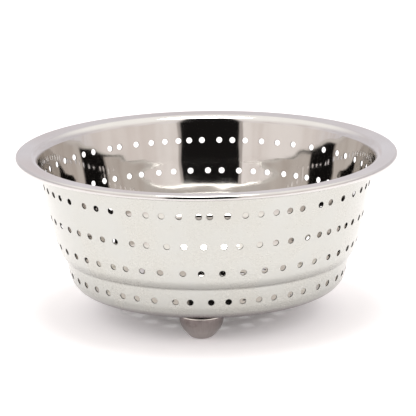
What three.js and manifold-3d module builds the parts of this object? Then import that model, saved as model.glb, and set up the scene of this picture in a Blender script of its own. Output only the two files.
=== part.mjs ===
// Footed colander: one pressed bowl with a rolled rim and punched drain holes, standing on three
// pressed cup feet that are spot-welded under its base.
// Millimetres, +Z up. The origin is on the floor, under the middle of the bowl. The front is -Y.

import * as THREE from 'three';
import { mergeVertices } from 'three/addons/utils/BufferGeometryUtils.js';
import Module from 'manifold-3d';

// ---- driving dimensions ----

const SHEET = 0.7;              // bowl sheet thickness
const BEAD_HEIGHT = 118.1;      // middle of the rolled rim bead, above the floor
const BASE_HEIGHT = 18.4;       // underside of the flat base
const BEAD = { radius: 138.05, roll: 1.6, sweep: 255 };   // bead ring, roll of the sheet's middle

// Corners of the sheet's middle surface from the base to the lip: radius, height, corner fillet
const BASE_MIDDLE = BASE_HEIGHT + SHEET / 2;
const WALL_CORNERS = [
  { radius: 98.7, height: BASE_MIDDLE, fillet: 14.6, steps: 4 },           // base to lower wall
  { radius: 104.5, height: BEAD_HEIGHT - 74.6, fillet: 3, steps: 1 },      // foot of the step
  { radius: 108.4, height: BEAD_HEIGHT - 70.7, fillet: 14, steps: 2 },     // shoulder of the step
  { radius: 116.6, height: BEAD_HEIGHT - 37.5, fillet: 30, steps: 1 },     // slight belly of the wall
  { radius: 124.5, height: BEAD_HEIGHT + 0.6, fillet: 6, steps: 4 },       // lip into the flared rim
];
const BEAD_STEPS = 6;
const ROUND_SEGMENTS = 36;      // facets around the bowl

// Drain holes: each row's punch advances unevenly, as slow sways of [waves per turn, degrees, phase]
// and a scatter from hole to hole of [chirp, degrees, phase]
const HOLE = { radius: 2.25, sides: 6 };
const PUNCH = { length: 60, standOff: 3 };   // a long thin spike, its blunt end outside the sheet
const HOLE_ROWS = [
  {
    depth: 17.5, count: 61, start: -69.7, scatter: [23.9, 0.9, 101],
    sways: [[1, 1.01, -150], [2, 1.61, -15], [4, 1.46, -109]],
  },
  {
    depth: 40.6, count: 59, start: -69.8, scatter: [91.7, 0.65, -154],
    sways: [[1, 1.44, -39], [2, 0.98, -51], [4, 1.19, 55]],
  },
  {
    depth: 61.0, count: 50, start: -73.3, scatter: [50.2, 0.62, -69],
    sways: [[3, 0.95, 95], [7, 0.32, -110]],
  },
  {
    depth: 84.4, count: 49, start: -73.9, scatter: [137.7, 0.9, -37],
    sways: [[2, 0.87, 18], [4, 0.82, -160]],
  },
];
const BASE_RING = { pitch: 18, rings: 3, holesPerRing: 6 };   // ring n has n times this many holes

// Cup feet, each a nearly round dome; the corners are those of the sheet's middle surface again
const FOOT = { sheet: 0.8, mouth: 15.3, segments: 20 };
const FOOT_CORNERS = [
  { radius: 7.2, height: FOOT.sheet / 2, fillet: 6.6, steps: 3 },
  { radius: 16, height: 10.7, fillet: 13.6, steps: 3 },
];
const FOOT_RING = 74;           // feet's distance from the bowl's axis
const FOOT_TURN = -4;           // the front foot stands a little to the left of straight ahead
const WELD_GAP = 0.9;           // foot's rim to the base

// ---- small helpers ----

const { degToRad } = THREE.MathUtils;
const wasm = await Module();
wasm.setup();

// A geometry's closed surface as a manifold solid, its shared points merged
function toSolid(geometry) {
  const bare = geometry.index ? geometry.toNonIndexed() : geometry.clone();
  bare.deleteAttribute('normal');
  bare.deleteAttribute('uv');
  const merged = mergeVertices(bare, 1e-4);
  const triangles = [];
  const index = merged.index.array;
  for (let i = 0; i < index.length; i += 3) {
    const [a, b, c] = [index[i], index[i + 1], index[i + 2]];
    if (a !== b && b !== c && c !== a) triangles.push(a, b, c);
  }
  return new wasm.Manifold(new wasm.Mesh({
    numProp: 3,
    vertProperties: merged.attributes.position.array,
    triVerts: new Uint32Array(triangles),
  }));
}

function toGeometry(solid) {
  const mesh = solid.getMesh();
  const geometry = new THREE.BufferGeometry();
  geometry.setAttribute('position', new THREE.BufferAttribute(mesh.vertProperties, 3));
  geometry.setIndex(new THREE.BufferAttribute(mesh.triVerts, 1));
  geometry.computeVertexNormals();
  return geometry;
}

// Points of a path through corners, each rounded by its fillet; start and end are plain points
function filletedPath(start, corners, end) {
  const points = [start];
  corners.forEach((corner, i) => {
    const here = new THREE.Vector2(corner.radius, corner.height);
    const before = i > 0 ? new THREE.Vector2(corners[i - 1].radius, corners[i - 1].height) : start;
    const next = corners[i + 1];
    const after = next ? new THREE.Vector2(next.radius, next.height) : end;
    const inward = here.clone().sub(before).normalize();
    const outward = after.clone().sub(here).normalize();
    const turn = Math.atan2(inward.cross(outward), inward.dot(outward));
    const tangent = corner.fillet * Math.tan(Math.abs(turn) / 2);
    const side = new THREE.Vector2(-inward.y, inward.x).multiplyScalar(Math.sign(turn));
    const centre = here.clone().addScaledVector(inward, -tangent).addScaledVector(side, corner.fillet);
    const spoke = side.clone().multiplyScalar(-corner.fillet);
    for (let k = 0; k <= corner.steps; k++) {
      points.push(spoke.clone().rotateAround(new THREE.Vector2(), (turn * k) / corner.steps).add(centre));
    }
  });
  points.push(end);
  return points;
}

// A sheet of even thickness along a path that starts on the axis: one side out, the other side back
function thicken(path, thickness) {
  const sides = [[], []];
  path.forEach((point, i) => {
    const before = path[Math.max(i - 1, 0)];
    const after = path[Math.min(i + 1, path.length - 1)];
    const arriving = (i > 0 ? point.clone().sub(before) : after.clone().sub(point)).normalize();
    const leaving = (i < path.length - 1 ? after.clone().sub(point) : arriving.clone()).normalize();
    const along = arriving.clone().add(leaving).normalize();
    const half = thickness / 2 / along.dot(arriving);
    const across = new THREE.Vector2(along.y, -along.x);
    sides[0].push(point.clone().addScaledVector(across, half));
    sides[1].push(point.clone().addScaledVector(across, -half));
  });
  sides.forEach((side) => side[0].setX(0));
  return [...sides[0], ...sides[1].reverse()];
}

// A profile of (radius, height) points turned about +Z, with the first segment line at the front
function turned(profile, segments) {
  return new THREE.LatheGeometry(profile, segments).rotateX(Math.PI / 2);
}

// ---- bowl ----

function bowlPath() {
  const bead = new THREE.Vector2(BEAD.radius, BEAD_HEIGHT);
  const lip = WALL_CORNERS[WALL_CORNERS.length - 1];
  const toBead = bead.clone().sub(new THREE.Vector2(lip.radius, lip.height));
  const rimSlope = toBead.angle() + Math.asin(BEAD.roll / toBead.length());
  const rollStart = rimSlope + Math.PI / 2;
  const onRoll = (k) => {
    const angle = rollStart - (degToRad(BEAD.sweep) * k) / BEAD_STEPS;
    return new THREE.Vector2(BEAD.roll, 0).rotateAround(new THREE.Vector2(), angle).add(bead);
  };
  const path = filletedPath(new THREE.Vector2(0, BASE_MIDDLE), WALL_CORNERS, onRoll(0));
  for (let k = 1; k <= BEAD_STEPS; k++) path.push(onRoll(k));
  return path;
}

// Where the wall's middle surface passes a height, and its outward normal in (radius, height)
function wallAt(path, height) {
  const i = path.findIndex((point, k) => point.y <= height && path[k + 1].y > height);
  const along = path[i + 1].clone().sub(path[i]);
  const place = path[i].clone().addScaledVector(along, (height - path[i].y) / along.y);
  return { place, normal: new THREE.Vector2(along.y, -along.x).normalize() };
}

// Angles of a row's holes in degrees, 0 at the front and positive towards +X
function rowAngles({ count, start, sways, scatter }) {
  const [chirp, spread, shift] = scatter;
  return Array.from({ length: count }, (_, i) => {
    const even = (360 * i) / count;
    const sway = ([waves, size, phase]) => size * Math.sin(degToRad(waves * even + phase));
    const stray = spread * Math.sin(degToRad(chirp * i * i + shift));
    return start + even + stray + sways.reduce((sum, item) => sum + sway(item), 0);
  });
}

// A spike along +Y that has the hole's radius where it passes the origin. Each of its sides is one
// triangle, so a cut edge gets no needless points, and over the sheet's thickness it hardly tapers.
function punchSpike() {
  const { length, standOff } = PUNCH;
  const blunt = (HOLE.radius * length) / (length - standOff);
  return new THREE.ConeGeometry(blunt, length, HOLE.sides).translate(0, length / 2 - standOff, 0);
}

// A punch across the wall at the front, leaning as the wall's normal does and pointing inwards
function wallPunch({ place, normal }) {
  const lean = Math.atan2(normal.y, normal.x);
  return punchSpike().rotateX(-lean).translate(0, -place.x, place.y);
}

function basePunches() {
  const punches = [];
  for (let ring = 1; ring <= BASE_RING.rings; ring++) {
    const count = ring * BASE_RING.holesPerRing;
    for (let i = 0; i < count; i++) {
      const punch = punchSpike().rotateX(Math.PI / 2).translate(0, -ring * BASE_RING.pitch, BASE_MIDDLE);
      punches.push(punch.rotateZ((2 * Math.PI * (i + 0.5)) / count));
    }
  }
  return punches;
}

function makeBowl() {
  const path = bowlPath();
  const shell = toSolid(turned(thicken(path, SHEET), ROUND_SEGMENTS));
  const punches = basePunches();
  for (const row of HOLE_ROWS) {
    const template = wallPunch(wallAt(path, BEAD_HEIGHT - row.depth));
    for (const angle of rowAngles(row)) punches.push(template.clone().rotateZ(degToRad(angle)));
  }
  const tools = wasm.Manifold.union(punches.map(toSolid));
  return toGeometry(shell.subtract(tools));
}

// ---- feet ----

// One cup, mouth up, standing on a small flat; its own origin is on the floor at its middle
function makeFoot() {
  const bottom = new THREE.Vector2(0, FOOT.sheet / 2);
  const mouth = new THREE.Vector2(FOOT.mouth, BASE_HEIGHT - WELD_GAP);
  const path = filletedPath(bottom, FOOT_CORNERS, mouth);
  return toGeometry(toSolid(turned(thicken(path, FOOT.sheet), FOOT.segments)));
}

// ---- the object ----

const satinSteel = new THREE.MeshStandardMaterial({ color: 0xd9d6d0, roughness: 0.28, metalness: 1 });
const darkSteel = new THREE.MeshStandardMaterial({ color: 0xa8a19c, roughness: 0.35, metalness: 1 });

const colander = new THREE.Group();

const bowl = new THREE.Mesh(makeBowl(), satinSteel);
bowl.name = 'bowl';
colander.add(bowl);

const footGeometry = makeFoot();
['foot_front', 'foot_back_right', 'foot_back_left'].forEach((name, i) => {
  const foot = new THREE.Mesh(footGeometry, darkSteel);
  const angle = degToRad(FOOT_TURN + 120 * i);
  foot.name = name;
  foot.position.set(FOOT_RING * Math.sin(angle), -FOOT_RING * Math.cos(angle), 0);
  colander.add(foot);
});

export default colander;
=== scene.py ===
import math

import bpy
import numpy as np
from mathutils import Matrix, Vector
from mathutils.geometry import delaunay_2d_cdt


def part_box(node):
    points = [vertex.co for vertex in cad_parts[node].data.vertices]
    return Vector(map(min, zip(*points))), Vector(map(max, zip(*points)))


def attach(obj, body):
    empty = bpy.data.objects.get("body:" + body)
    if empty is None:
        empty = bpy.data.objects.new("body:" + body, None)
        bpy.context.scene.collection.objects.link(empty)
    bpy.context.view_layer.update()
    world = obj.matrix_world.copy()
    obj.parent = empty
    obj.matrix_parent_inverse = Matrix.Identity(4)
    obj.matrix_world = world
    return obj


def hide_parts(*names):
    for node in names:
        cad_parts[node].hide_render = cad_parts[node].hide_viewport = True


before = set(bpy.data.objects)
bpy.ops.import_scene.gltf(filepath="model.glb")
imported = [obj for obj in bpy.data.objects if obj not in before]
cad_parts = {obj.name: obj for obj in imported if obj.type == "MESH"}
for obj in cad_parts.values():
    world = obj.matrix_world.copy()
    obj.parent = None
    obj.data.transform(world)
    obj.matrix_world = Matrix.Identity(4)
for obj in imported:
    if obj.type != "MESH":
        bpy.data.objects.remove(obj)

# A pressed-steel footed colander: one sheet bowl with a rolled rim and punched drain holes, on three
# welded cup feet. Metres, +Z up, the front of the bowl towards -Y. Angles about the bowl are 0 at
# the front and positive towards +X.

MM = 0.001
TURN = 2 * math.pi
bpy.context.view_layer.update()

# ---- driving dimensions of the bowl ----

BOWL_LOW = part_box("bowl")[0]
SHEET = 0.7 * MM
BASE_MIDDLE = BOWL_LOW.z + SHEET / 2
BEAD_HEIGHT = BOWL_LOW.z + 99.7 * MM
BEAD_RADIUS = 138.05 * MM
BEAD_ROLL = 1.6 * MM           # radius of the sheet's middle around the bead
BEAD_SWEEP = math.radians(255)

# Corners of the sheet's middle surface, base to lip: radius, height, corner fillet
WALL_CORNERS = [
    (98.7 * MM, BASE_MIDDLE, 14.6 * MM),
    (104.5 * MM, BEAD_HEIGHT - 74.6 * MM, 3 * MM),
    (108.4 * MM, BEAD_HEIGHT - 70.7 * MM, 14 * MM),
    (111.8 * MM, BEAD_HEIGHT - 58 * MM, 100 * MM),
    (116.6 * MM, BEAD_HEIGHT - 37.5 * MM, 200 * MM),
    (118.3 * MM, BEAD_HEIGHT - 29 * MM, 60 * MM),
    (124.5 * MM, BEAD_HEIGHT + 0.6 * MM, 6 * MM),
]

# Drain holes: each row has its depth below the bead, its count and its first angle. Its punch
# advances unevenly, as slow sways of (waves per turn, degrees, phase) and a scatter from hole to
# hole of (chirp, degrees, phase).
WALL_ROWS = [
    (17.5 * MM, 61, -69.7, [(1, 1.01, -150), (2, 1.61, -15), (4, 1.46, -109)], (23.9, 0.9, 101)),
    (40.6 * MM, 59, -69.8, [(1, 1.44, -39), (2, 0.98, -51), (4, 1.19, 55)], (91.7, 0.65, -154)),
    (61.0 * MM, 50, -73.3, [(3, 0.95, 95), (7, 0.32, -110)], (50.2, 0.62, -69)),
    (84.4 * MM, 49, -73.9, [(2, 0.87, 18), (4, 0.82, -160)], (137.7, 0.9, -37)),
]
BASE_RING_PITCH = 18 * MM
BASE_RINGS = 3
HOLES_PER_BASE_RING = 6        # ring n has n times this many
HOLE_RADIUS = 2.25 * MM
HOLE_BREAK = 0.14 * MM         # width of a hole's broken edge on each face
HOLE_WIDE = HOLE_RADIUS + HOLE_BREAK
BREAK_LEAN = 0.8               # how far the shading at a broken edge leans from the face to the hole

# ---- driving dimensions of the feet ----

FOOT_SHEET = 0.8 * MM
FOOT_MOUTH = 15.3 * MM
LIP_HIGHLIGHT_BAND = 0.75 * MM         # height of the trimmed band at a foot's mouth, whose bright steel is a painted highlight
LIP_ROUND = 0.25 * MM          # height of the rounding over a foot's lip

# Corners of the sheet's middle surface again, bottom to mouth
FOOT_CORNERS = [
    (7.2 * MM, FOOT_SHEET / 2, 6.6 * MM),
    (16 * MM, 10.7 * MM, 13.6 * MM),
]

# ---- fineness of the meshes ----

AROUND = 288                   # points around the bowl
TURN_STEP = math.radians(6)    # most that the bowl's profile turns between two points
LONGEST_STEP = 12 * MM         # most between two points on a straight stretch of it
BAND_HALF = 3.7 * MM           # half the height of the band of sheet that a row of holes takes
BAND_STEP = BAND_HALF / 2      # between the rows of points in a band
BAND_MARGIN = 0.5 * MM         # least from a band to the profile's next point
HOLE_SIDES = 24
HOLE_CLEARANCE = 1.35 * HOLE_WIDE      # least from the middle of a hole to a point of the grid
FOOT_AROUND = 96
FOOT_TURN_STEP = math.radians(5)
FOOT_LONGEST_STEP = 3 * MM
LIP_STEPS = 6                  # facets over a foot's lip
HALVINGS = 60                  # of the profile, to find a height on it
MERGE_DISTANCE = 1e-9
TINY = 1e-12

OUTER, INNER = range(2)                     # the two faces of a sheet
OUTSIDE, INSIDE, RIM, EDGE = range(4)       # the bowl's materials
CUP, LIP = range(2)                         # a foot's materials


# ---- profile of a sheet: straight lines and arcs, measured along the sheet's middle ----

class Profile:
    """A path in (radius, height) with its length, made of lines and arcs that meet smoothly."""

    def __init__(self, start):
        self.end = np.array(start, float)
        self.pieces = []       # (length at its start, its length, kind, data)
        self.length = 0.0

    def _add(self, length, kind, data):
        self.pieces.append((self.length, length, kind, data))
        self.length += length

    def line_to(self, point):
        point = np.array(point, float)
        run = np.linalg.norm(point - self.end)
        self._add(run, "line", (self.end, (point - self.end) / run))
        self.end = point

    def arc(self, centre, turn):
        """Turns about centre by an angle, positive towards the inside of the bowl."""
        spoke = self.end - centre
        radius = np.linalg.norm(spoke)
        first = math.atan2(spoke[1], spoke[0])
        self._add(radius * abs(turn), "arc", (np.array(centre), radius, first, turn))
        last = first + turn
        self.end = centre + radius * np.array([math.cos(last), math.sin(last)])

    def at(self, s):
        """The point at length s, and the outward normal of the sheet there."""
        for start, length, kind, data in self.pieces:
            if s <= start + length + TINY:
                break
        t = min(max((s - start) / length, 0.0), 1.0)
        if kind == "line":
            point = data[0] + data[1] * length * t
            along = data[1]
        else:
            centre, radius, first, turn = data
            angle = first + turn * t
            spoke = np.array([math.cos(angle), math.sin(angle)])
            point = centre + radius * spoke
            along = math.copysign(1, turn) * np.array([-spoke[1], spoke[0]])
        return point, np.array([along[1], -along[0]])

    def samples(self, turn_step, longest):
        """Lengths along the path, closer together where it turns."""
        marks = [0.0]
        for start, length, kind, data in self.pieces:
            if kind == "arc":
                steps = max(2, math.ceil(abs(data[3]) / turn_step))
            else:
                steps = max(1, math.ceil(length / longest))
            marks += [start + length * k / steps for k in range(1, steps + 1)]
        return marks

    def length_at_height(self, height):
        """Where a path that only rises passes a height."""
        low, high = 0.0, self.length
        for _ in range(HALVINGS):
            middle = (low + high) / 2
            if self.at(middle)[0][1] < height:
                low = middle
            else:
                high = middle
        return low


def fillet(profile, before, corner, after, radius):
    """Adds the line up to a corner and the arc round it."""
    corner = np.array(corner)
    into = (corner - before) / np.linalg.norm(corner - before)
    out = (after - corner) / np.linalg.norm(after - corner)
    turn = math.atan2(into[0] * out[1] - into[1] * out[0], into @ out)
    tangent = radius * math.tan(abs(turn) / 2)
    side = math.copysign(1, turn) * np.array([-into[1], into[0]])
    touch = corner - into * tangent
    profile.line_to(touch)
    profile.arc(touch + side * radius, turn)


def rounded(start, corners, end):
    """The profile through corners of (radius, height, fillet)."""
    profile = Profile(start)
    points = [np.array(start)] + [np.array(c[:2]) for c in corners] + [np.array(end)]
    for i, corner in enumerate(corners):
        fillet(profile, points[i], points[i + 1], points[i + 2], corner[2])
    profile.line_to(end)
    return profile


def bowl_profile():
    bead = np.array([BEAD_RADIUS, BEAD_HEIGHT])
    to_bead = bead - np.array(WALL_CORNERS[-1][:2])
    slope = math.atan2(to_bead[1], to_bead[0]) + math.asin(BEAD_ROLL / np.linalg.norm(to_bead))
    top = slope + math.pi / 2
    roll_start = bead + BEAD_ROLL * np.array([math.cos(top), math.sin(top)])
    profile = rounded((0, BASE_MIDDLE), WALL_CORNERS, roll_start)
    profile.arc(bead, -BEAD_SWEEP)
    return profile


# ---- mesh building ----

def swung(vector, angle):
    """A vector in (radius, height), turned to an angle about the upright axis."""
    return (vector[0] * math.sin(angle), -vector[0] * math.cos(angle), vector[1])


def turn_between(a, b):
    """The turn from angle b to angle a, at most half a turn either way."""
    return (a - b + math.pi) % TURN - math.pi


class SheetMesh:
    """The mesh of a sheet whose middle is a profile turned about the upright axis. A vertex is given
    by its angle, its length along the profile and its distance off the middle, positive outside."""

    def __init__(self, profile, around):
        self.profile = profile
        self.around = around
        self.step = TURN / around
        self.places, self.normals = [], []
        self.faces, self.regions = [], []

    def vertex(self, angle, s, off, normal=None):
        point, outward = self.profile.at(s)
        self.places.append(swung(point + outward * off, angle))
        if normal is None:
            normal = swung(outward * math.copysign(1, off), angle)
        self.normals.append(normal)
        return len(self.places) - 1

    def ring(self, s, off, facing=None):
        """Vertices all the way round; facing is their normal in (radius, height)."""
        vertices = []
        for j in range(self.around):
            angle = j * self.step
            normal = None if facing is None else swung(facing, angle)
            vertices.append(self.vertex(angle, s, off, normal))
        return vertices

    def face(self, corners, region, side=OUTER):
        """A face with its corners in the order of the outer face; the inner one turns it over."""
        self.faces.append(corners if side == OUTER else corners[::-1])
        self.regions.append(region)

    def quads(self, a, b, region, side=OUTER):
        """Faces all the way round between two closed rows of vertices."""
        for j in range(len(a)):
            n = (j + 1) % len(a)
            self.face([a[j], a[n], b[n], b[j]], region, side)

    def fan(self, off, ring, region, side):
        """The flat middle inside the first ring."""
        pole = self.vertex(0.0, 0.0, off)
        for j in range(len(ring)):
            self.face([pole, ring[(j + 1) % len(ring)], ring[j]], region, side)

    def build(self, name, materials):
        mesh = bpy.data.meshes.new(name)
        mesh.from_pydata(self.places, [], self.faces)
        mesh.polygons.foreach_set("material_index", self.regions)
        mesh.polygons.foreach_set("use_smooth", [True] * len(self.faces))
        for material in materials:
            mesh.materials.append(material)
        mesh.normals_split_custom_set_from_vertices(self.normals)
        piece = bpy.data.objects.new(name, mesh)
        bpy.context.scene.collection.objects.link(piece)
        return piece


# ---- bowl ----

BOWL_FACES = (SHEET / 2, -SHEET / 2)        # their distance off the sheet's middle


def hole_rings(sheet, angle, s):
    """The rings of vertices down one hole, outer face to inner face."""
    point, outward = sheet.profile.at(s)
    east = np.array([math.cos(angle), math.sin(angle), 0.0])
    up = np.array(swung((-outward[1], outward[0]), angle))
    outer, inner = BOWL_FACES
    rings = []
    for radius, off, facing, lean in (
        (HOLE_WIDE, outer, 1, 0.0),
        (HOLE_RADIUS, outer - HOLE_BREAK, 1, BREAK_LEAN),
        (HOLE_RADIUS, inner + HOLE_BREAK, -1, BREAK_LEAN),
        (HOLE_WIDE, inner, -1, 0.0),
    ):
        ring = []
        for k in range(HOLE_SIDES):
            phi = TURN * k / HOLE_SIDES
            ring_s = s + radius * math.sin(phi)
            ring_angle = angle + radius * math.cos(phi) / point[0]
            skin = np.array(swung(sheet.profile.at(ring_s)[1], ring_angle)) * facing
            inward = -(east * math.cos(phi) + up * math.sin(phi))
            normal = skin * (1 - lean) + inward * lean
            normal = tuple(normal / np.linalg.norm(normal))
            ring.append(sheet.vertex(ring_angle, ring_s, off, normal))
        rings.append(ring)
    return rings


def flat_band(sheet, s, turns, marks):
    """A band of sheet around a row of holes, cut open and laid flat: its points, what each of them
    is, and the edges of its holes. Its inner rows leave out the points that would crowd a hole."""
    radius = sheet.profile.at(s)[0][0]

    def room(j):
        return min(abs(turn_between(turn, j * sheet.step)) for turn in turns)

    def crowded(line, mark):
        return any(
            math.hypot(turn_between(turn, line * sheet.step) * radius, mark - s) < HOLE_CLEARANCE
            for turn in turns
        )

    # the cut goes down the grid line that is farthest from a hole
    seam = max(range(AROUND), key=room)
    places, tags, edges = [], [], []
    for mark in marks:
        for j in range(AROUND + 1):
            line = (seam + j) % AROUND
            if mark in marks[1:-1] and crowded(line, mark):
                continue
            places.append(Vector((j * sheet.step * radius, mark)))
            tags.append(("grid", mark, line))
    for h, turn in enumerate(turns):
        x = (turn - seam * sheet.step) % TURN * radius
        first = len(places)
        for k in range(HOLE_SIDES):
            phi = TURN * k / HOLE_SIDES
            places.append(Vector((x + HOLE_WIDE * math.cos(phi), s + HOLE_WIDE * math.sin(phi))))
            tags.append(("hole", h, k))
        edges += [(first + k, first + (k + 1) % HOLE_SIDES) for k in range(HOLE_SIDES)]
    return places, tags, edges


def perforated_band(sheet, rows, low, high, s, angles, region_at):
    """Both faces of the sheet between two rows of its grid, around a row of holes, and the holes'
    edges. rows holds the grid's vertices by side and mark."""
    turns = [angle % TURN for angle in angles]
    inner_marks = [s + k * BAND_STEP for k in (-1, 0, 1)]
    places, tags, edges = flat_band(sheet, s, turns, [low, *inner_marks, high])
    _, _, triangles, originals, *_ = delaunay_2d_cdt(places, edges, [], 0, MERGE_DISTANCE)
    holes = [hole_rings(sheet, turn, s) for turn in turns]
    for side, off in enumerate(BOWL_FACES):
        numbers = {}
        for tag in tags:
            kind, where, index = tag
            if kind == "hole":
                numbers[tag] = holes[where][0 if side == OUTER else -1][index]
            elif where not in inner_marks:
                numbers[tag] = rows[side][where][index]
            elif tag not in numbers:
                numbers[tag] = sheet.vertex(index * sheet.step, where, off)
        for triangle in triangles:
            corner_tags = [tags[originals[i][0]] for i in triangle]
            owners = {tag[:2] for tag in corner_tags}
            if len(owners) == 1 and corner_tags[0][0] == "hole":
                continue       # it would close a hole
            corners = [numbers[tag] for tag in corner_tags]
            if len(set(corners)) == 3:
                sheet.face(corners, region_at(side, s), side)
    for rings in holes:
        for upper, lower in zip(rings, rings[1:]):
            sheet.quads(lower, upper, EDGE)


def row_angles(count, start, sways, scatter):
    """Angles of the holes of a row of the wall."""
    chirp, spread, shift = scatter
    angles = []
    for i in range(count):
        even = 360 * i / count
        sway = sum(
            size * math.sin(math.radians(waves * even + phase)) for waves, size, phase in sways
        )
        stray = spread * math.sin(math.radians(chirp * i * i + shift))
        angles.append(math.radians(start + even + sway + stray))
    return angles


def hole_rows(profile):
    """Each row of holes as its length along the profile and its holes' angles, base to lip."""
    rows = []
    for ring in range(1, BASE_RINGS + 1):
        count = ring * HOLES_PER_BASE_RING
        rows.append((ring * BASE_RING_PITCH, [TURN * (i + 0.5) / count for i in range(count)]))
    for depth, *row in WALL_ROWS:
        rows.append((profile.length_at_height(BEAD_HEIGHT - depth), row_angles(*row)))
    return sorted(rows)


def make_bowl(materials):
    profile = bowl_profile()
    sheet = SheetMesh(profile, AROUND)
    lip_start = profile.pieces[-3][0]         # the fillet between wall and flange
    bands = {s - BAND_HALF: (s, angles) for s, angles in hole_rows(profile)}
    middles = [s for s, _ in bands.values()]

    def region_at(side, s):
        if s > lip_start:
            return RIM
        return OUTSIDE if side == OUTER else INSIDE

    def clear_of_bands(mark):
        return mark > 0 and all(abs(mark - s) > BAND_HALF + BAND_MARGIN for s in middles)

    marks = sorted({
        *filter(clear_of_bands, profile.samples(TURN_STEP, LONGEST_STEP)),
        *(s - BAND_HALF for s in middles),
        *(s + BAND_HALF for s in middles),
    })
    rows = [{mark: sheet.ring(mark, off) for mark in marks} for off in BOWL_FACES]
    for low, high in zip(marks, marks[1:]):
        if low in bands:
            perforated_band(sheet, rows, low, high, *bands[low], region_at)
            continue
        for side in (OUTER, INNER):
            region = region_at(side, (low + high) / 2)
            sheet.quads(rows[side][low], rows[side][high], region, side)
    for side, off in enumerate(BOWL_FACES):
        sheet.fan(off, rows[side][marks[0]], region_at(side, 0), side)
    # the sheet's free edge inside the bead
    sheet.quads(rows[OUTER][marks[-1]], rows[INNER][marks[-1]], RIM)
    return sheet.build("bowl_sheet", materials)


# ---- feet ----

def lip_rings(sheet):
    """Rings over a foot's lip, which is rounded from the outer face to the inner face."""
    end = sheet.profile.length
    outward = sheet.profile.at(end)[1]
    along = np.array([-outward[1], outward[0]])
    rings = []
    for k in range(1, LIP_STEPS):
        turn = math.pi * k / LIP_STEPS
        s = end - LIP_ROUND + LIP_ROUND * math.sin(turn)
        off = FOOT_SHEET / 2 * math.cos(turn)
        rings.append(sheet.ring(s, off, outward * math.cos(turn) + along * math.sin(turn)))
    return rings


def make_foot(node, name, materials):
    """A pressed cup in its node's place, mouth up against the base."""
    low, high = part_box(node)
    centre = (low + high) / 2
    half = FOOT_SHEET / 2
    profile = rounded((0, half), FOOT_CORNERS, (FOOT_MOUTH, high.z))
    sheet = SheetMesh(profile, FOOT_AROUND)
    marks = [mark for mark in profile.samples(FOOT_TURN_STEP, FOOT_LONGEST_STEP) if mark > 0]
    marks[-1:] = [profile.length - LIP_HIGHLIGHT_BAND, profile.length - LIP_ROUND]
    rows = [[sheet.ring(mark, off) for mark in marks] for off in (half, -half)]
    for side, off in enumerate((half, -half)):
        rings = rows[side]
        for a, b in zip(rings, rings[1:]):
            sheet.quads(a, b, LIP if b is rings[-1] else CUP, side)
        sheet.fan(off, rings[0], CUP, side)
    bridge = [rows[OUTER][-1], *lip_rings(sheet), rows[INNER][-1]]
    for a, b in zip(bridge, bridge[1:]):
        sheet.quads(a, b, LIP)
    foot = sheet.build(name, materials)
    foot.data.transform(Matrix.Translation((centre.x, centre.y, 0)))
    return foot


# ---- materials ----

# Noise patterns on the steel, by their frequency per metre
SPUN_LINES = 2600.0
SMUDGES = 26.0
PRESSED_WAVES = 34.0
DRAWN_LINES = 1400.0
STAINS = 95.0
SHEAR_MARKS = 1800.0
MOST_NOISE = (0.3, 0.7)        # the range that most of a pattern's values are in
SPUN_PER_RADIAN = 0.012        # metres of pattern for each radian round the bowl
DRAWN_PER_RADIAN = 0.016       # metres of pattern for each radian round a foot
DRAWN_PER_METRE = 0.06         # and for each metre up it

SMUDGE_COLOURED = (0.35, 0.75)     # values of the smudges' pattern where their colour comes in
SMUDGE_DULLED = (0.3, 0.75)        # and where their roughness does
SPUN_GRIT = 0.01                   # roughness that the spun lines add or take away
CORNER_DARKEST = 0.6 * MM          # height above the base where the corner's painted shade is strongest
CORNER_TOP = 6.5 * MM              # and where it ends
CORNER_UNDERSIDE = 0.3             # share of that painted shade on the base's underside
STAIN_EDGE = (0.58, 0.72)          # values of the stains' pattern where their colour comes in
STAIN_STRENGTH = 0.85
MOUTH_SHADE_HEIGHTS = (6 * MM, 15 * MM)           # heights between which a foot's painted shade comes in, darkest at its mouth under the base
MOUTH_SHADE_STRENGTH = 0.8
MOUTH_SHADE_STREAKS = 0.1                 # share that the drawn lines add to it or take away
DRAWN_ROUGHNESS = (0.32, 0.44)
DRAWN_DEPTH = 0.015 * MM
SHEARED_ROUGHNESS = (0.25, 0.45)


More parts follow.
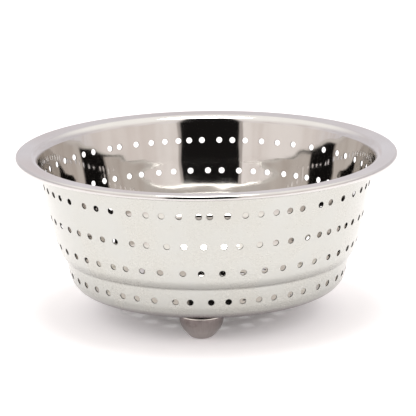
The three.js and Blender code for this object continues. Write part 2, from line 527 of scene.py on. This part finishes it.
class Nodes:
    """Short forms for building the nodes of a material or a world."""

    def __init__(self, owner, shader):
        owner.use_nodes = True
        self.tree = owner.node_tree
        self.shader = self.tree.nodes[shader]

    def add(self, kind, **settings):
        """A node, its sockets set by capitalised names and its own settings by plain ones."""
        node = self.tree.nodes.new(kind)
        for key, value in settings.items():
            if key[0].isupper():
                node.inputs[key.replace("_", " ")].default_value = value
            else:
                setattr(node, key, value)
        return node

    def feed(self, socket, value):
        """Gives a socket a number, a colour or another node's output."""
        if isinstance(value, (int, float)):
            socket.default_value = value
        elif isinstance(value, tuple):
            socket.default_value = (*value, 1.0)
        else:
            self.tree.links.new(value, socket)

    def set(self, **values):
        """Feeds the shader's sockets."""
        for key, value in values.items():
            self.feed(self.shader.inputs[key.replace("_", " ")], value)

    def math(self, operation, *values):
        node = self.add("ShaderNodeMath", operation=operation)
        for socket, value in zip(node.inputs, values):
            self.feed(socket, value)
        return node.outputs[0]

    def combine(self, *values):
        node = self.add("ShaderNodeCombineXYZ")
        for socket, value in zip(node.inputs, values):
            self.feed(socket, value)
        return node.outputs[0]

    def noise(self, vector, scale, detail=3.0, roughness=0.55):
        node = self.add("ShaderNodeTexNoise", Scale=scale, Detail=detail, Roughness=roughness)
        self.feed(node.inputs["Vector"], vector)
        return node.outputs["Fac"]

    def ramp(self, value, low, high, to_low=0.0, to_high=1.0, **settings):
        node = self.add("ShaderNodeMapRange", From_Min=low, From_Max=high,
                        To_Min=to_low, To_Max=to_high, **settings)
        self.feed(node.inputs["Value"], value)
        return node.outputs["Result"]

    def smooth(self, value, low, high):
        return self.ramp(value, low, high, interpolation_type="SMOOTHSTEP")

    def mix(self, share, a, b):
        """Colour a where share is 0 and colour b where it is 1."""
        node = self.add("ShaderNodeMix", data_type="RGBA")
        share_socket, a_socket, b_socket = node.inputs[0], node.inputs[6], node.inputs[7]
        self.feed(share_socket, share)
        self.feed(a_socket, a)
        self.feed(b_socket, b)
        return node.outputs[2]

    def coordinates(self, kind):
        return self.add("ShaderNodeTexCoord").outputs[kind]

    def split(self, vector):
        node = self.add("ShaderNodeSeparateXYZ")
        self.feed(node.inputs[0], vector)
        return node.outputs

    def round_coordinates(self, centre=(0, 0)):
        """The radius and the angle about an upright axis, and the height."""
        x, y, height = self.split(self.coordinates("Object"))
        x = self.math("SUBTRACT", x, centre[0])
        y = self.math("SUBTRACT", y, centre[1])
        squares = self.math("ADD", self.math("MULTIPLY", x, x), self.math("MULTIPLY", y, y))
        return self.math("SQRT", squares), self.math("ARCTAN2", x, y), height

    def bump(self, height, distance):
        node = self.add("ShaderNodeBump", Distance=distance, Strength=1.0)
        self.feed(node.inputs["Height"], height)
        self.set(Normal=node.outputs[0])


def new_material(name):
    material = bpy.data.materials.new(name)
    return material, Nodes(material, "Principled BSDF")


def spun_steel(name, colour, smudge, roughness, grain, waves, painted_corner_shade=None):
    """Steel polished while it spins: fine lines round the bowl, faint smudges over them, and the
    slow waves that pressing leaves. A corner colour, if given, darkens the corner between base
    and wall: painted shade, standing in for the shadowed floor that the corner reflects."""
    material, n = new_material(name)
    radius, angle, height = n.round_coordinates()
    run = n.math("MULTIPLY", angle, SPUN_PER_RADIAN)
    lines = n.noise(n.combine(run, n.math("ADD", radius, height), 0.0), SPUN_LINES, detail=2.0)
    where = n.coordinates("Object")
    cloud = n.noise(where, SMUDGES, detail=4.0, roughness=0.6)
    steel = n.mix(n.ramp(cloud, *SMUDGE_COLOURED), colour, smudge)
    # painted shade: darker towards the corner between base and wall, for the shadowed floor it
    # reflects
    if painted_corner_shade:
        above = n.math("SUBTRACT", height, BOWL_LOW.z)
        rise = n.ramp(above, 0.0, CORNER_DARKEST, CORNER_UNDERSIDE, 1.0)
        fall = n.ramp(above, CORNER_DARKEST, CORNER_TOP, 1.0, 0.0)
        steel = n.mix(n.math("MULTIPLY", rise, fall), steel, painted_corner_shade)
    grit = n.ramp(lines, *MOST_NOISE, -SPUN_GRIT, SPUN_GRIT)
    rough = n.math("ADD", n.ramp(cloud, *SMUDGE_DULLED, *roughness), grit)
    n.set(Base_Color=steel, Roughness=rough, Metallic=1.0)
    slow = n.noise(where, PRESSED_WAVES, detail=1.0)
    n.bump(n.math("ADD", n.math("MULTIPLY", lines, grain), n.math("MULTIPLY", slow, waves)), MM)
    return material


def drawn_steel(name, colour, stain, painted_mouth_shade, centre):
    """Steel drawn into a cup: fine lines down its sides, a few darker stains, and painted shade that
    darkens it towards its mouth, under the bowl's base."""
    material, n = new_material(name)
    _, angle, height = n.round_coordinates(centre)
    run = n.math("MULTIPLY", angle, DRAWN_PER_RADIAN)
    rise = n.math("MULTIPLY", height, DRAWN_PER_METRE)
    lines = n.noise(n.combine(run, rise, 0.0), DRAWN_LINES)
    blots = n.noise(n.coordinates("Object"), STAINS, roughness=0.6)
    steel = n.mix(n.ramp(blots, *STAIN_EDGE, 0.0, STAIN_STRENGTH), colour, stain)
    # painted shade, darker towards the mouth under the bowl's base and streaked by the drawn lines
    streaks = n.ramp(lines, *MOST_NOISE, -MOUTH_SHADE_STREAKS, MOUTH_SHADE_STREAKS)
    shade_near_mouth = n.math("ADD", n.ramp(height, *MOUTH_SHADE_HEIGHTS, 0.0, MOUTH_SHADE_STRENGTH), streaks)
    rough = n.ramp(lines, *MOST_NOISE, *DRAWN_ROUGHNESS)
    n.set(Base_Color=n.mix(shade_near_mouth, steel, painted_mouth_shade), Roughness=rough, Metallic=1.0)
    n.bump(lines, DRAWN_DEPTH)
    return material


def sheared_steel(name, dark, light):
    """A punched or trimmed edge: dull, with the marks of the punch."""
    material, n = new_material(name)
    marks = n.noise(n.coordinates("Object"), SHEAR_MARKS, detail=2.0)
    rough = n.ramp(marks, *MOST_NOISE, *SHEARED_ROUGHNESS)
    n.set(Base_Color=n.mix(marks, dark, light), Roughness=rough, Metallic=1.0)
    return material


# ---- the object ----

bowl = make_bowl([
    # the outside's corner colour is painted shade
    spun_steel("steel_outside", colour=(0.535, 0.542, 0.515), smudge=(0.53, 0.525, 0.483),
               roughness=(0.25, 0.29), grain=0.0004, waves=0.02, painted_corner_shade=(0.18, 0.14, 0.155)),
    spun_steel("steel_inside", colour=(0.64, 0.62, 0.59), smudge=(0.6, 0.58, 0.55),
               roughness=(0.035, 0.06), grain=0.0015, waves=0.3),
    spun_steel("steel_rim", colour=(0.64, 0.625, 0.61), smudge=(0.6, 0.585, 0.57),
               roughness=(0.07, 0.12), grain=0.002, waves=0.03),
    sheared_steel("steel_hole_edge", dark=(0.5, 0.48, 0.45), light=(0.66, 0.64, 0.6)),
])
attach(bowl, "root")
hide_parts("bowl")

for node in ("foot_front", "foot_back_right", "foot_back_left"):
    low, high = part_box(node)
    centre = ((low.x + high.x) / 2, (low.y + high.y) / 2)
    cup = make_foot(node, node.replace("foot", "cup_foot"), [
        # the last colour is painted shade near the foot's mouth
        drawn_steel("steel_" + node, colour=(0.4, 0.365, 0.35), stain=(0.15, 0.11, 0.1),
                    painted_mouth_shade=(0.19, 0.16, 0.155), centre=centre),
        # the lip is a real trimmed edge; its bright steel is a painted highlight along the rim
        sheared_steel("steel_lip_" + node, dark=(0.62, 0.58, 0.53), light=(0.8, 0.77, 0.71)),
    ])
    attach(cup, "root")
    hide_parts(node)


# ---- camera ----

CAMERA_DISTANCE = 1.96             # from the middle of the rim
CAMERA_ELEVATION = math.radians(13.01)
CAMERA_YAW = math.radians(0.02)
CAMERA_PITCH = math.radians(14.19)
CAMERA_ROLL = math.radians(-0.82)
CAMERA_LENS = 231.3                # millimetres, as the sensor's width
CAMERA_SENSOR = 36.0


def make_camera():
    data = bpy.data.cameras.new("camera")
    data.lens = CAMERA_LENS
    data.sensor_width = CAMERA_SENSOR
    camera = bpy.data.objects.new("camera", data)
    bpy.context.scene.collection.objects.link(camera)
    forward = Vector((
        math.sin(CAMERA_YAW) * math.cos(CAMERA_PITCH),
        math.cos(CAMERA_YAW) * math.cos(CAMERA_PITCH),
        -math.sin(CAMERA_PITCH),
    ))
    right = forward.cross(Vector((0, 0, 1))).normalized()
    up = right.cross(forward)
    rolled_right = right * math.cos(CAMERA_ROLL) + up * math.sin(CAMERA_ROLL)
    rolled_up = up * math.cos(CAMERA_ROLL) - right * math.sin(CAMERA_ROLL)
    place = Vector((
        0,
        -CAMERA_DISTANCE * math.cos(CAMERA_ELEVATION),
        BEAD_HEIGHT + CAMERA_DISTANCE * math.sin(CAMERA_ELEVATION),
    ))
    axes = (rolled_right, rolled_up, -forward, place)
    camera.matrix_world = Matrix([[axis[i] for axis in axes] for i in range(3)] + [[0, 0, 0, 1]])
    bpy.context.scene.camera = camera


make_camera()


# ---- floor and light ----

FLOOR_REACH = (-3.0, 3.0, -0.42, 3.0)       # left, right, near and far edges

# The floor's faint glow: from one radius to another, from one strength to another
GLOW_RISE = (0.045, 0.085, 0.07, 0.31)
GLOW_FADE = (0.1, 0.22, 1.0, 0.3)           # a factor on it, between two radii again

# The tent round the bowl. Angles are in degrees, and azimuth 0 is the camera's side.
OVERHEAD = (1.35, 1.32, 1.27)
BACKDROP = {"light": (0.92, 0.9, 0.95), "shade": (0.8, 0.73, 0.74), "folds": 22.0, "top": (22, 50)}
CLOTH = {"light": (1.12, 1.05, 1.03), "shade": (0.95, 0.86, 0.83), "folds": 3.5, "top": (24, 60)}
BACK_STARTS = (-0.25, 0.35)                 # Y of the directions where cloth gives way to backdrop
FOLD_VALUES = (0.35, 0.65)                  # values of the folds' pattern, from light to shade
OPENING = (-24.0, 18.0)                     # azimuths of its left and right edges
OPENING_CURTAINS = (-26.5, 20.0)
OPENING_TOP = (68.0, 64.0)                  # elevations where it starts and where it is whole
OPENING_BLUR = 0.6                          # half the width of its edges and its curtains' edges
CURTAIN_GREY = (0.55, 0.5, 0.48)
OPENING_DARK = (0.012, 0.011, 0.011)


def make_floor():
    """A white table top that ends a little in front of the bowl."""
    left, right, near, far = FLOOR_REACH
    corners = [(left, near, 0), (right, near, 0), (right, far, 0), (left, far, 0)]
    mesh = bpy.data.meshes.new("floor")
    mesh.from_pydata(corners, [], [(0, 1, 2, 3)])
    floor = bpy.data.objects.new("floor", mesh)
    bpy.context.scene.collection.objects.link(floor)
    material, n = new_material("floor_paper")
    n.set(Base_Color=(0.93, 0.915, 0.925), Roughness=0.9, Specular_IOR_Level=0.1)
    # lit faintly from below, so that the bowl's shadow stays light
    radius = n.round_coordinates()[0]
    glow = n.math("MULTIPLY", n.ramp(radius, *GLOW_RISE), n.ramp(radius, *GLOW_FADE))
    n.set(Emission_Color=(1.0, 0.975, 0.985), Emission_Strength=glow)
    mesh.materials.append(material)


def make_world():
    """A white tent with a dark opening on the camera's side and a dimmer backdrop behind the bowl."""
    world = bpy.data.worlds.new("tent")
    bpy.context.scene.world = world
    n = Nodes(world, "Background")
    direction = n.coordinates("Generated")
    x, y, z = n.split(direction)
    elevation = n.math("MULTIPLY", n.math("ARCSINE", z), 180 / math.pi)
    azimuth = n.math("MULTIPLY", n.math("ARCTAN2", x, n.math("MULTIPLY", y, -1.0)), 180 / math.pi)

    def hanging(light, shade, folds, top):
        """A side of the tent: cloth in folds, brighter towards the top."""
        pattern = n.noise(direction, folds, detail=2.0, roughness=0.5)
        cloth = n.mix(n.smooth(pattern, *FOLD_VALUES), light, shade)
        return n.mix(n.smooth(elevation, *top), cloth, OVERHEAD)

    def slot(left, right):
        """1 between two azimuths, below the opening's top; it runs down past the table."""
        after_left = n.smooth(azimuth, left - OPENING_BLUR, left + OPENING_BLUR)
        before_right = n.smooth(azimuth, right + OPENING_BLUR, right - OPENING_BLUR)
        across = n.math("MULTIPLY", after_left, before_right)
        return n.math("MULTIPLY", across, n.smooth(elevation, *OPENING_TOP))

    # behind the bowl a lavender backdrop, in front white cloth with the opening and its grey edges
    room = n.mix(n.smooth(y, *BACK_STARTS), hanging(**CLOTH), hanging(**BACKDROP))
    curtained = n.mix(slot(*OPENING_CURTAINS), room, CURTAIN_GREY)
    tent = n.mix(slot(*OPENING), curtained, OPENING_DARK)
    # the camera itself sees plain white past the floor
    direct = n.add("ShaderNodeLightPath").outputs["Is Camera Ray"]
    n.set(Color=n.mix(direct, tent, (1.0, 1.0, 1.0)), Strength=1.0)


def make_lamp(name, place, aim, size, power):
    data = bpy.data.lights.new(name, "AREA")
    data.shape = "DISK"
    data.size = size
    data.energy = power
    lamp = bpy.data.objects.new(name, data)
    lamp.location = place
    lamp.rotation_euler = (Vector(aim) - Vector(place)).to_track_quat("-Z", "Y").to_euler()
    bpy.context.scene.collection.objects.link(lamp)


make_floor()
make_world()
make_lamp("overhead", place=(0.0, -0.1, 1.9), aim=(0, 0, 0), size=1.0, power=21)

scene = bpy.context.scene
scene.view_settings.view_transform = "Standard"
scene.cycles.max_bounces = 16
scene.cycles.glossy_bounces = 12
